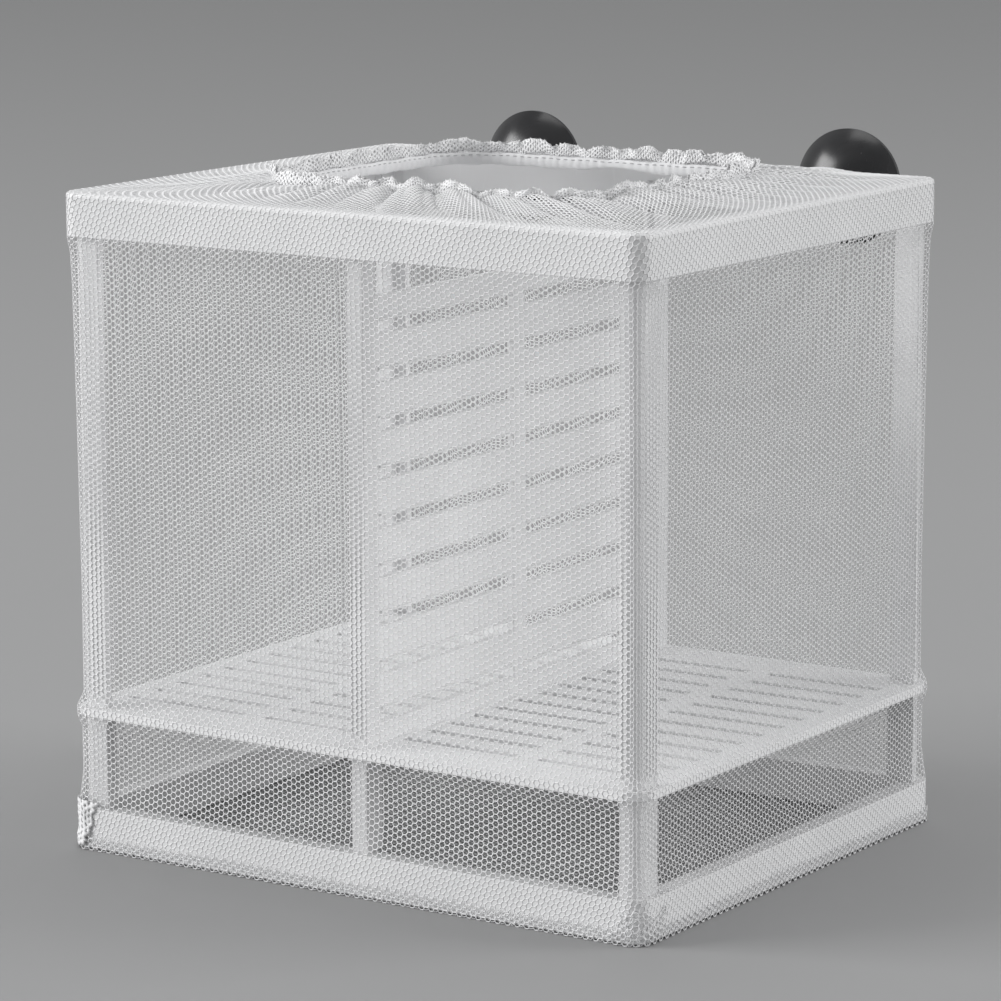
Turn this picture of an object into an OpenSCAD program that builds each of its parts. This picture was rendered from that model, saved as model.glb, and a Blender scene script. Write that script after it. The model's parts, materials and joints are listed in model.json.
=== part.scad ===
// Fish breeding box: a snap-together plastic frame in a net bag, hung in a tank by two suction cups.
// Millimetres. The origin is under the middle of the box, +Z is up, and the suction cups face +Y.

/* [Box] */
// Length over the net, left to right
box_l = 152.8; // [120:0.2:190]
// Depth over the net, front to back
box_d = 128.8; // [105:0.2:160]
// Height from the floor to the net on top of the rim
box_h = 150; // [125:1:190]
// Thickness of the net
net_t = 0.5; // [0.4:0.1:0.8]

/* [Frames] */
// Outside corner radius of both frames and their net
frame_r = 4; // [3:0.25:7]
// Height of the top frame
rim_h = 9.9; // [8:0.1:14]
// Height of the bottom frame
base_h = 9.3; // [8:0.1:14]
// Thickness of the outer wall of both frames
frame_wall = 1.7; // [1.4:0.1:2.2]
// Width of the thick band of both frames
band_w = 4.4; // [4.1:0.1:5.5]
// Height of the thick band of the top frame
band_h = 4.5; // [4:0.1:6]
// Rounding of the top frame's upper edge
rim_edge_r = 0.9; // [0.3:0.1:1.3]
// Depth of the post sockets in the bottom frame
base_socket = 6; // [3:0.5:7]
// Depth of the post sockets in the top frame
rim_socket = 2.5; // [1:0.25:3]
// Gap round a post or rail in its socket
socket_gap = 0.05; // [0.02:0.01:0.1]

/* [Posts and rails] */
// Length of a post's long arm
post_long = 7.5; // [6:0.1:10]
// Length of a post's short arm
post_short = 4.8; // [4.2:0.1:7]
// Thickness of a post's arms
post_t = 2; // [1.6:0.1:2.2]
// Outside corner radius of a post
post_r = 3.5; // [2.4:0.1:3.9]
// Extra thickness of a post or rail below the shelf, which makes the shoulder that carries it
shoulder = 1.2; // [0.8:0.1:1.6]
// Width of a divider rail
rail_w = 4; // [3.4:0.1:6]
// Depth of a divider rail
rail_depth = 4.6; // [4.3:0.1:6.5]

/* [Shelf] */
// Height of the shelf's underside
shelf_z = 30.9; // [20:0.1:50]
// Thickness of the shelf
shelf_t = 2; // [1.6:0.1:3]
// Corner radius of the shelf
shelf_r = 5.5; // [4.5:0.1:7]
// Width of a shelf slot, small enough to hold back the parent fish
shelf_slot_w = 2.4; // [1.6:0.1:2.6]
// Distance from one shelf slot to the next
shelf_slot_pitch = 8.9; // [4:0.1:12]
// Width of the solid strips between the shelf slots' ends
shelf_rib = 5.5; // [3:0.5:8]
// Solid edge of the shelf at its left and right ends
shelf_end_edge = 5.7; // [5:0.1:10]
// Least solid edge of the shelf at the front and back
shelf_side_edge = 11; // [10:0.5:16]
// Gap between the shelf and the posts and rails that pass through it
shelf_gap = 0.15; // [0.1:0.05:0.3]

/* [Divider] */
// Place of the divider and its rails, to the right of the middle
divider_x = 3; // [-15:0.5:15]
// Thickness of the divider
divider_t = 1.6; // [1.2:0.1:1.8]
// Height of the divider above the shelf
divider_h = 98.1; // [70:0.1:100]
// Gap on each side of the divider in a rail's groove
groove_gap = 0.15; // [0.1:0.05:0.25]
// Gap at each end of the divider
divider_end_gap = 0.3; // [0.2:0.1:0.6]
// Distance from one row of slots to the next
divider_pitch = 10.65; // [6:0.05:13]
// Height of a divider slot
divider_slot_h = 2.75; // [1.8:0.05:3.5]
// Solid edge above the top row of slots
divider_top_edge = 5.5; // [3:0.1:12]
// Least solid edge below the bottom row of slots
divider_bottom_edge = 4; // [3:0.1:12]
// Width of the solid strip between the two columns of slots
divider_rib = 4.9; // [3:0.1:10]
// Width of the solid strip at each end of the divider
divider_side_edge = 2.4; // [2:0.1:8]
// How far the lip along the top of each slot stands out
slot_lip = 0.4; // [0.2:0.1:0.6]

/* [Suction cups] */
// Distance from one suction cup to the other
cup_spacing = 87.3; // [60:0.1:110]
// Diameter of a suction cup
cup_dia = 27; // [20:0.5:32]
// Depth of a suction cup's dome
cup_dome = 6.5; // [4:0.1:9]
// Depth of the hollow in a suction cup
cup_hollow = 3.4; // [2:0.1:3.8]
// Thickness of a suction cup's lip
cup_lip = 0.9; // [0.5:0.1:1.5]
// Diameter of a suction cup's stem
stem_dia = 4.9; // [3.5:0.1:5.5]
// Gap round the stem in the top frame
stem_gap = 0.05; // [0.02:0.01:0.1]
// Diameter of the neck behind the dome
neck_dia = 8; // [6.5:0.5:10]
// Length of the neck between the net and the dome
neck_l = 2.6; // [1:0.1:5]
// Diameter of the knob that snaps into the back bar
knob_dia = 6.6; // [6:0.1:7.2]
// Length of that knob
knob_l = 1.6; // [1.2:0.1:2]

/* [Net bag] */
// How far the walls are drawn in at the shelf
wall_inset = 1.7; // [1:0.1:1.7]
// Rows of gaps in the coarse net that stands for the fine one
net_rows = 6; // [3:1:7]
// Width of the strands of that coarse net
net_strand = 1.6; // [1:0.1:3]
// Plain edge round that coarse net
net_border = 4; // [3:0.5:8]
// Length of the gathered opening
mouth_l = 89.5; // [60:0.5:100]
// Depth of the gathered opening
mouth_d = 84; // [50:1:88]
// Corner radius of the gathered opening
mouth_r = 16; // [10:1:24]
// Place of the opening's middle, to the right and to the back
mouth_offset = 2; // [-4:0.5:4]
// Height of the gathered edge above the net on the rim
mouth_rise = 1; // [0.5:0.1:4]
// Height of the frill above the gathered edge
frill_h = 3; // [1.5:0.1:5]
// Depth of the main folds at the gathered edge
fold_depth = 1.6; // [0.5:0.1:2.5]
// Number of main folds round the opening
fold_count = 24; // [12:1:24]
// Diameter of the elastic in the hem
elastic_dia = 1.6; // [1:0.1:2.5]

/* [Hidden] */
$fn = 48;

// Frames inside the net
frame_l = box_l - 2 * net_t;
frame_d = box_d - 2 * net_t;
rim_top = box_h - net_t;
rim_z = rim_top - rim_h;
band_z = rim_top - band_h;
base_top = net_t + base_h;
wall_r = frame_r - frame_wall;
band_r = 1;

// Outer faces of the posts and rails, which stand against the frames' walls
post_x = frame_l / 2 - frame_wall;
post_y = frame_d / 2 - frame_wall;
post_foot = base_top - base_socket;
post_head = band_z + rim_socket;
groove_depth = post_y - (frame_d / 2 - band_w);
groove_w = divider_t + 2 * groove_gap;
rail_tenon = post_t;
rail_spacer = rail_depth + shoulder;

// Shelf and divider
shelf_top = shelf_z + shelf_t;
divider_l = frame_d - 2 * band_w - 2 * divider_end_gap;
divider_slot_l = divider_l / 2 - divider_side_edge - divider_rib / 2 - (rail_depth - groove_depth);
divider_slot_field = divider_h - divider_top_edge - divider_bottom_edge - divider_slot_h;
divider_rows = floor(divider_slot_field / divider_pitch) + 1;

// Suction cups
cup_rise = 0.2;
cup_z = (rim_z + rim_top) / 2 + cup_rise;
bore_r = stem_dia / 2 + stem_gap;
knob_gap = 0.1;
snap_lip = 1.2;
bar_gap = 0.2;
net_hole_gap = 0.3;

// Net bag
net_r = frame_r + net_t;
low_inset = 0.65 * wall_inset;
shelf_ease = 3;
collar_edge = 0.5;
frill_sway = 0.8;
frill_low = 0.6;
mouth_z = box_h + mouth_rise;
side_steps = [25, 20];
corner_steps = 6;
opening_steps = 3;
hem_border = 0.85;

// Flat rectangle with round corners
module rounded_rect(l, d, r) {
    square([l - 2 * r, d], center = true);
    square([l, d - 2 * r], center = true);
    for (sx = [-1, 1], sy = [-1, 1])
        translate([sx * (l / 2 - r), sy * (d / 2 - r)])
            circle(r);
}

// A profile carried round a rectangle: its x is the distance out from the corners' centres, its y is height
module ring(l, d, r) {
    for (s = [0, 180]) {
        rotate(s)
            translate([0, d / 2 - r, 0])
                rotate([90, 0, 90])
                    linear_extrude(l - 2 * r, center = true)
                        children();
        rotate(s + 90)
            translate([0, l / 2 - r, 0])
                rotate([90, 0, 90])
                    linear_extrude(d - 2 * r, center = true)
                        children();
    }
    for (c = [[1, 1, 0], [-1, 1, 90], [-1, -1, 180], [1, -1, 270]])
        translate([c[0] * (l / 2 - r), c[1] * (d / 2 - r), 0])
            rotate(c[2])
                rotate_extrude(angle = 90)
                    children();
}

// Section of a post, outer corner at the origin, long arm along X, grown by g all round
module post_section(t, g = 0) {
    r = post_r + g;
    translate([-g, -g])
        difference() {
            union() {
                square([post_long + 2 * g, t + 2 * g]);
                square([t + 2 * g, post_short + 2 * g]);
            }
            difference() {
                translate([-1, -1])
                    square(r + 1);
                translate([r, r])
                    circle(r);
            }
        }
}

// Section of a rail, outer face on the X axis, growing inwards along Y
module rail_section(depth, g = 0) {
    translate([-rail_w / 2 - g, -g])
        square([rail_w + 2 * g, depth + 2 * g]);
}

// Places a post at a corner: 0 front left, 1 front right, 2 back right, 3 back left
module at_corner(i) {
    sides = [[-1, -1], [1, -1], [1, 1], [-1, 1]];
    translate([sides[i][0] * post_x, sides[i][1] * post_y, 0])
        rotate(90 * i)
            children();
}

// Places a rail: 0 front, 1 back
module at_rail(i) {
    translate([divider_x, (i == 0 ? -1 : 1) * post_y, 0])
        rotate(180 * i)
            children();
}

// Sockets for the posts' and rails' tenons
module sockets(z, h) {
    translate([0, 0, z])
        linear_extrude(h) {
            for (i = [0:3])
                at_corner(i)
                    post_section(post_t, socket_gap);
            for (i = [0, 1])
                at_rail(i)
                    rail_section(rail_tenon, socket_gap);
        }
}

// Runs a shape along +Y at each suction cup
module at_cup(side) {
    translate([divider_x + side * cup_spacing / 2, 0, cup_z])
        rotate([-90, 0, 0])
            children();
}

module top_frame() {
    color("white")
        difference() {
            union() {
                ring(frame_l, frame_d, frame_r)
                    translate([wall_r, rim_z])
                        difference() {
                            square([frame_wall, rim_h]);
                            translate([frame_wall - rim_edge_r, rim_h - rim_edge_r])
                                difference() {
                                    square(rim_edge_r + 1);
                                    circle(rim_edge_r);
                                }
                        }
                translate([0, 0, band_z])
                    linear_extrude(band_h)
                        difference() {
                            rounded_rect(frame_l - 2 * frame_wall, frame_d - 2 * frame_wall, wall_r);
                            rounded_rect(frame_l - 2 * band_w, frame_d - 2 * band_w, band_r);
                        }
                back_bar();
            }
            sockets(band_z, rim_socket);
            for (side = [-1, 1])
                at_cup(side)
                    snap_pocket();
        }
}

// Thick lower half of the back bar, between the posts and the rail, where the cups snap in
module back_bar() {
    left = [-post_x + post_short + bar_gap, divider_x - rail_w / 2 - bar_gap];
    right = [divider_x + rail_w / 2 + bar_gap, post_x - post_long - bar_gap];
    for (run = [left, right])
        translate([run[0], frame_d / 2 - band_w, rim_z])
            cube([run[1] - run[0], band_w - frame_wall, rim_h - band_h]);
}

// Bore for a stem and the wider pocket behind it that holds the knob
module snap_pocket() {
    deep = frame_d / 2 - snap_lip;
    translate([0, 0, deep - 1])
        cylinder(h = snap_lip + 2, r = bore_r);
    translate([0, 0, deep - knob_l - 2 * knob_gap])
        cylinder(h = knob_l + 2 * knob_gap, r = knob_dia / 2 + knob_gap);
}

module bottom_frame() {
    color("white")
        difference() {
            translate([0, 0, net_t])
                linear_extrude(base_h)
                    difference() {
                        rounded_rect(frame_l, frame_d, frame_r);
                        rounded_rect(frame_l - 2 * band_w, frame_d - 2 * band_w, band_r);
                    }
            sockets(post_foot, base_socket);
        }
}

module corner_post(i) {
    color("white")
        at_corner(i) {
            translate([0, 0, post_foot])
                linear_extrude(post_head - post_foot)
                    post_section(post_t);
            translate([0, 0, base_top])
                linear_extrude(shelf_z - base_top)
                    post_section(post_t + shoulder);
        }
}

module mid_rail(i) {
    color("white")
        at_rail(i) {
            translate([0, 0, post_foot])
                linear_extrude(base_socket)
                    rail_section(rail_tenon);
            translate([0, 0, base_top])
                linear_extrude(shelf_z - base_top)
                    rail_section(rail_spacer);
            translate([0, 0, shelf_z])
                linear_extrude(band_z - shelf_z)
                    difference() {
                        rail_section(rail_depth);
                        translate([-groove_w / 2, groove_depth])
                            square([groove_w, rail_depth]);
                    }
            translate([0, 0, band_z])
                linear_extrude(rim_socket)
                    rail_section(rail_tenon);
        }
}

// Slots in two columns on each side of the divider
module shelf_slots() {
    end_x = frame_l / 2 - shelf_end_edge;
    rows = floor((frame_d - 2 * shelf_side_edge - shelf_slot_w) / shelf_slot_pitch) + 1;
    for (half = [[-end_x, divider_x - shelf_rib / 2], [divider_x + shelf_rib / 2, end_x]]) {
        slot_l = (half[1] - half[0] - shelf_rib) / 2;
        for (x = [half[0], half[1] - slot_l], row = [0:rows - 1])
            translate([x, (row - (rows - 1) / 2) * shelf_slot_pitch - shelf_slot_w / 2])
                square([slot_l, shelf_slot_w]);
    }
}

module floor_shelf() {
    color("whitesmoke")
        translate([0, 0, shelf_z])
            linear_extrude(shelf_t)
                difference() {
                    rounded_rect(frame_l, frame_d, shelf_r);
                    shelf_slots();
                    for (i = [0:3])
                        at_corner(i)
                            post_section(post_t, shelf_gap);
                    for (i = [0, 1])
                        at_rail(i)
                            rail_section(rail_depth, shelf_gap);
                }
}

module divider_panel() {
    color("whitesmoke")
        difference() {
            translate([divider_x, 0, shelf_top]) {
                translate([-divider_t / 2, -divider_l / 2, 0])
                    cube([divider_t, divider_l, divider_h]);
                divider_slots(lips = true);
            }
            translate([divider_x, 0, shelf_top])
                divider_slots(lips = false);
        }
}

module divider_slots(lips) {
    lip_h = 0.6;
    slot_y = (divider_rib + divider_slot_l) / 2;
    first_z = divider_h - divider_top_edge;
    for (side = [-1, 1], row = [0:divider_rows - 1])
        translate([0, side * slot_y, first_z - row * divider_pitch])
            if (lips)
                translate([0, 0, lip_h / 2])
                    cube([divider_t + 2 * slot_lip, divider_slot_l, lip_h], center = true);
            else
                translate([0, 0, -divider_slot_h / 2])
                    cube([divider_t + 2, divider_slot_l, divider_slot_h], center = true);
}

module suction_cup(side) {
    knob_y = frame_d / 2 - snap_lip - knob_gap;
    neck_y = box_d / 2 + net_hole_gap;
    dome_y = neck_y + neck_l;
    lip_y = dome_y + cup_dome;
    cup_r = cup_dia / 2;
    dome_r = (cup_r * cup_r + cup_dome * cup_dome) / 2 / cup_dome;
    hollow_edge = cup_r - cup_lip;
    hollow_r = (hollow_edge * hollow_edge + cup_hollow * cup_hollow) / 2 / cup_hollow;
    color("#1a1a1a")
        at_cup(side)
            difference() {
                union() {
                    translate([0, 0, knob_y - knob_l])
                        cylinder(h = knob_l / 2, d1 = stem_dia, d2 = knob_dia);
                    translate([0, 0, knob_y - knob_l / 2])
                        cylinder(h = knob_l / 2, d = knob_dia);
                    translate([0, 0, knob_y])
                        cylinder(h = neck_y - knob_y, d = stem_dia);
                    translate([0, 0, neck_y])
                        cylinder(h = neck_l + cup_dome / 2, d = neck_dia);
                    intersection() {
                        translate([0, 0, dome_y + dome_r])
                            sphere(dome_r);
                        translate([0, 0, dome_y])
                            cylinder(h = cup_dome, r = cup_r + 1);
                    }
                    translate([0, 0, lip_y])
                        cylinder(h = cup_lip, r = cup_r);
                }
                translate([0, 0, lip_y + cup_lip - cup_hollow + hollow_r])
                    sphere(hollow_r);
            }
}

// Heights between which a wall stands straight below the shelf
low_flat = [(shelf_z + base_top * 3) / 4, (shelf_z * 7 + base_top) / 8];

// Outline of a net wall: x is the distance out from the corners' centres, y is height
function wall_line(out) = [
    [net_r - out, rim_top],
    [net_r - out, rim_z],
    [net_r - wall_inset - out, shelf_top + shelf_ease],
    [net_r - out, shelf_top],
    [net_r - out, shelf_z],
    [net_r - low_inset - out, low_flat[1]],
    [net_r - low_inset - out, low_flat[0]],
    [net_r - out, base_top],
    [net_r - out, net_t]
];

function reversed(list) = [for (i = [len(list) - 1:-1:0]) list[i]];

// Flat-topped hexagonal gaps in columns, alternate columns half a gap lower
module net_gaps(width) {
    low = shelf_top + shelf_ease + net_border;
    pitch = (rim_z - net_border - low) / net_rows;
    column = pitch * sqrt(3) / 2;
    gap_r = (pitch - net_strand) / sqrt(3);
    columns = floor((width / 2 - net_border - gap_r) / column);
    for (c = [-columns:columns], row = [0:net_rows - 1 - abs(c) % 2])
        translate([c * column, low + (row + 0.5 + (abs(c) % 2) / 2) * pitch])
            circle(gap_r, $fn = 6);
}

// One wall of the bag, facing +Y, with half of each corner
module bag_wall(run, depth) {
    outline = concat(wall_line(0), reversed(wall_line(net_t)));
    straight = run - 2 * net_r;
    color("white")
        difference() {
            translate([0, depth / 2 - net_r, 0]) {
                rotate([90, 0, 90])
                    linear_extrude(straight, center = true)
                        polygon(outline);
                for (side = [0, 1])
                    mirror([side, 0, 0])
                        translate([-straight / 2, 0, 0])
                            rotate(90)
                                rotate_extrude(angle = 45)
                                    polygon(outline);
            }
            translate([0, depth / 2 + 1, 0])
                rotate([90, 0, 0])
                    linear_extrude(net_r + 1)
                        net_gaps(straight);
        }
}

module bag_wall_front() {
    rotate(180)
        bag_wall(box_l, box_d);
}

module bag_wall_right() {
    rotate(-90)
        bag_wall(box_d, box_l);
}

module bag_wall_back() {
    difference() {
        bag_wall(box_l, box_d);
        for (side = [-1, 1])
            at_cup(side)
                translate([0, 0, box_d / 2 - net_r])
                    cylinder(h = 2 * net_r, r = stem_dia / 2 + net_hole_gap);
    }
}

module bag_wall_left() {
    rotate(90)
        bag_wall(box_d, box_l);
}

module bag_floor() {
    color("white")
        linear_extrude(net_t)
            rounded_rect(box_l, box_d, net_r);
}

// Point i of a rounded rectangle, with as many points on each side and corner as the others
function loop_size() = 2 * (side_steps[0] + side_steps[1]) + 4 * corner_steps;
function loop_quarter(i) =
    let (half = loop_size() / 2,
         long_start = side_steps[1] + corner_steps,
         rest = i % half,
         q = (i < half ? 0 : 2) + (rest < long_start ? 0 : 1))
    [q, q % 2 == 0 ? rest : rest - long_start, side_steps[1 - q % 2]];
function loop_point(i, l, d, r) =
    let (k = loop_quarter(i),
         turn = 90 * k[0],
         a = (k[0] % 2 == 0 ? l : d) / 2,
         b = (k[0] % 2 == 0 ? d : l) / 2,
         on_side = k[1] < k[2],
         t = on_side ? 2 * k[1] / k[2] - 1 : 0,
         phi = on_side ? 0 : 90 * (k[1] - k[2]) / corner_steps,
         x = on_side ? a : a - r + r * cos(phi),
         y = on_side ? t * (b - r) : b - r + r * sin(phi))
    [x * cos(turn) - y * sin(turn), x * sin(turn) + y * cos(turn)];

// Rise of the folds at point i: two waves of unlike length, from 0 to 1
function fold(i) =
    let (t = 360 * i / loop_size())
    0.5 + 0.35 * cos(fold_count * t) + 0.15 * cos((fold_count * 2 / 3 + 1) * t + 50);
function sway(i) = sin(fold_count * 360 * i / loop_size());

// Section of the collar at point i, from the rim to the top of the frill and back underneath
function collar_section(i) =
    let (outer = loop_point(i, box_l - 2 * collar_edge, box_d - 2 * collar_edge, net_r - collar_edge),
         inner = loop_point(i, frame_l - 2 * band_w, frame_d - 2 * band_w, band_r),
         hem = loop_point(i, mouth_l, mouth_d, mouth_r) + [mouth_offset, mouth_offset],
         out = (inner - hem) / norm(inner - hem),
         lift = fold_depth * fold(i),
         near = inner + (hem - inner) * hem_border,
         near_z = box_h + (mouth_rise + lift) * hem_border,
         lean = out * frill_sway * sway(i),
         top = frill_h * (frill_low + (1 - frill_low) * fold(i)))
    [
        [outer[0], outer[1], box_h],
        [inner[0], inner[1], box_h],
        [near[0], near[1], near_z],
        [hem[0] + out[0] * net_t, hem[1] + out[1] * net_t, mouth_z + lift],
        [hem[0] + out[0] * net_t + lean[0], hem[1] + out[1] * net_t + lean[1], mouth_z + lift + top],
        [hem[0] + lean[0], hem[1] + lean[1], mouth_z + lift + top],
        [hem[0], hem[1], mouth_z + lift - net_t],
        [near[0], near[1], near_z - net_t],
        [inner[0], inner[1], rim_top],
        [outer[0], outer[1], rim_top]
    ];

// Gaps in the collar between the frame and the hem, one strand after each
function is_gap(i) = i % opening_steps != opening_steps - 1;
function two(a, b, c, d) = [[a, b, c], [a, c, d]];

module bag_collar() {
    n = loop_size();
    m = 10;
    points = [for (i = [0:n - 1]) each collar_section(i)];
    faces = [
        for (i = [0:n - 1])
            let (here = i * m,
                 next = ((i + 1) % n) * m,
                 gap = is_gap(i))
            each [
                for (j = [0:m - 1])
                    if (!gap || (j != 1 && j != 7))
                        each two(here + j, here + (j + 1) % m, next + (j + 1) % m, next + j),
                if (gap)
                    each two(here + 1, here + 8, next + 8, next + 1),
                if (gap)
                    each two(here + 2, next + 2, next + 7, here + 7),
                if (gap && !is_gap((i + n - 1) % n))
                    each two(here + 1, here + 2, here + 7, here + 8),
                if (gap && !is_gap((i + 1) % n))
                    each two(next + 2, next + 1, next + 8, next + 7)
            ]
    ];
    color("white")
        polyhedron(points, faces);
}

module hem_elastic() {
    r = elastic_dia / 2;
    inset = net_hole_gap + r;
    color("white")
        translate([mouth_offset, mouth_offset, mouth_z])
            ring(mouth_l - 2 * inset, mouth_d - 2 * inset, mouth_r - inset)
                translate([mouth_r - inset, 0])
                    circle(r, $fn = 8);
}

top_frame();
bottom_frame();
corner_post(0);  // corner_post_front_left
corner_post(1);  // corner_post_front_right
corner_post(2);  // corner_post_back_right
corner_post(3);  // corner_post_back_left
mid_rail(0);  // mid_rail_front
mid_rail(1);  // mid_rail_back
floor_shelf();
divider_panel();
suction_cup(-1);  // suction_cup_left
suction_cup(1);  // suction_cup_right
bag_wall_front();
bag_wall_right();
bag_wall_back();
bag_wall_left();
bag_floor();
bag_collar();
hem_elastic();
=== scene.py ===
"""Looks of a fish breeding box: a white plastic cage inside a fine hexagonal net bag.

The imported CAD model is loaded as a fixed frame. The net bag, its gathered hem and the
stitches are new surfaces, and the rigid parts keep their CAD shapes under new finishes.
Sizes are in millimetres until a mesh is made, which turns them into metres.
"""

import json
import logging
from collections.abc import Callable
from dataclasses import dataclass, field
from enum import Enum

import bpy
import numpy as np
from mathutils import Matrix

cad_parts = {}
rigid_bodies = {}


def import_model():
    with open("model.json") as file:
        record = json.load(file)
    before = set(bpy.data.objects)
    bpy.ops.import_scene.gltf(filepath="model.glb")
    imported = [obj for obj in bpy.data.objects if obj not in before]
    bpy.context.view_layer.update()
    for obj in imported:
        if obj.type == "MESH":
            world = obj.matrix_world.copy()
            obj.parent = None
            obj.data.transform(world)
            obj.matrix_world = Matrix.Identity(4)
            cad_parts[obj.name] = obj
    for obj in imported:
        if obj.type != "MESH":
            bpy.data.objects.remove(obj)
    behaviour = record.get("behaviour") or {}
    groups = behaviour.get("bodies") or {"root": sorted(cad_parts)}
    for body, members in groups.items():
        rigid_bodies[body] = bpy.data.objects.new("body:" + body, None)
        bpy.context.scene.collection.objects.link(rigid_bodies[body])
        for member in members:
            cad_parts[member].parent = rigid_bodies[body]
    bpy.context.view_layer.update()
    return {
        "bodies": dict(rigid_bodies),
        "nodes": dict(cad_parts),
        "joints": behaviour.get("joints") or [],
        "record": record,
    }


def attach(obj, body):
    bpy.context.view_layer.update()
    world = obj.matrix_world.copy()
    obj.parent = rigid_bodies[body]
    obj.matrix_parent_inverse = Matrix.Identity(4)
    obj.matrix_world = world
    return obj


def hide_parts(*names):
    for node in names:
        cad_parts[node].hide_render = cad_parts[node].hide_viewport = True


MM = 0.001
ROOT_3 = 3**0.5
TURN = 2 * np.pi
LOG = logging.getLogger("breeding_box")

Surface = Callable[[np.ndarray, np.ndarray], np.ndarray]


class Slot(Enum):
    """Names of two of the record's material slots."""

    NET = "net"
    ELASTIC = "elastic"


class Side(Enum):
    """The four sides of the bag, numbered in the order in which its outline passes them."""

    FRONT = 0
    RIGHT = 1
    BACK = 2
    LEFT = 3


def unit(vectors: np.ndarray) -> np.ndarray:
    """Vectors scaled to length 1."""
    length = np.linalg.norm(vectors, axis=-1, keepdims=True)
    return vectors / np.maximum(length, 1e-9)


def smooth(value: np.ndarray, low: float, high: float) -> np.ndarray:
    """A soft step from 0 at low to 1 at high: 3 t squared less 2 t cubed."""
    t = np.clip((value - low) / (high - low), 0, 1)
    return t * t * (3 - 2 * t)


def make_object(name: str, points: np.ndarray, quads: np.ndarray) -> bpy.types.Object:
    """Makes a smooth-shaded mesh object at the origin from arrays.

    Args:
        name: The object's name.
        points: Points in millimetres, one row each.
        quads: Indices of four points, one row for each face.

    Returns:
        The new object, linked to the scene.
    """
    mesh = bpy.data.meshes.new(name)
    mesh.vertices.add(len(points))
    mesh.vertices.foreach_set("co", (points * MM).astype(np.float32).ravel())
    mesh.loops.add(quads.size)
    mesh.loops.foreach_set("vertex_index", quads.astype(np.int32).ravel())
    mesh.polygons.add(len(quads))
    starts = np.arange(0, quads.size, 4, dtype=np.int32)
    mesh.polygons.foreach_set("loop_start", starts)
    mesh.polygons.foreach_set("use_smooth", np.ones(len(quads), dtype=bool))
    mesh.update(calc_edges=True)
    mesh.validate()
    thing = bpy.data.objects.new(name, mesh)
    bpy.context.scene.collection.objects.link(thing)
    return thing


@dataclass(frozen=True)
class RoundedLoop:
    """A rectangle with round corners, walked from the middle of its front side to the right.

    Attributes:
        length: Size along X.
        depth: Size along Y.
        radius: Radius of the four corners.
        centre: Middle of the rectangle.
    """

    length: float
    depth: float
    radius: float
    centre: tuple[float, float] = (0.0, 0.0)

    @property
    def runs(self) -> np.ndarray:
        """Lengths of the pieces of the outline: half front, corner, side and so on."""
        wide, deep = self.length - 2 * self.radius, self.depth - 2 * self.radius
        arc = TURN / 4 * self.radius
        return np.array([wide / 2, arc, deep, arc, wide, arc, deep, arc, wide / 2])

    @property
    def perimeter(self) -> float:
        """Length of the whole outline."""
        return float(self.runs.sum())

    @property
    def corner_middles(self) -> np.ndarray:
        """Distances along the outline of the middles of the four corners."""
        return np.cumsum(self.runs)[::2][:4] + self.runs[1] / 2

    def at(self, s: np.ndarray, inset: np.ndarray | float = 0.0) -> np.ndarray:
        """Points of the outline: corner centre plus the outward direction times the radius.

        Args:
            s: Distances along the outline, which may pass its end.
            inset: How far inside the outline the points lie.

        Returns:
            X and Y of each point, in the last axis.
        """
        x, y = self.length / 2 - self.radius, self.depth / 2 - self.radius
        stops = np.concatenate([[0.0], np.cumsum(self.runs)])
        s = np.mod(s, self.perimeter)
        cx = np.interp(s, stops, [0, x, x, x, x, -x, -x, -x, -x, 0])
        cy = np.interp(s, stops, [-y, -y, -y, y, y, y, y, -y, -y, -y])
        turn = np.radians(np.interp(s, stops, [-90, -90, 0, 0, 90, 90, 180, 180, 270, 270]))
        reach = self.radius - inset
        return np.stack(
            [
                self.centre[0] + cx + np.cos(turn) * reach,
                self.centre[1] + cy + np.sin(turn) * reach,
            ],
            axis=-1,
        )


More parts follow.
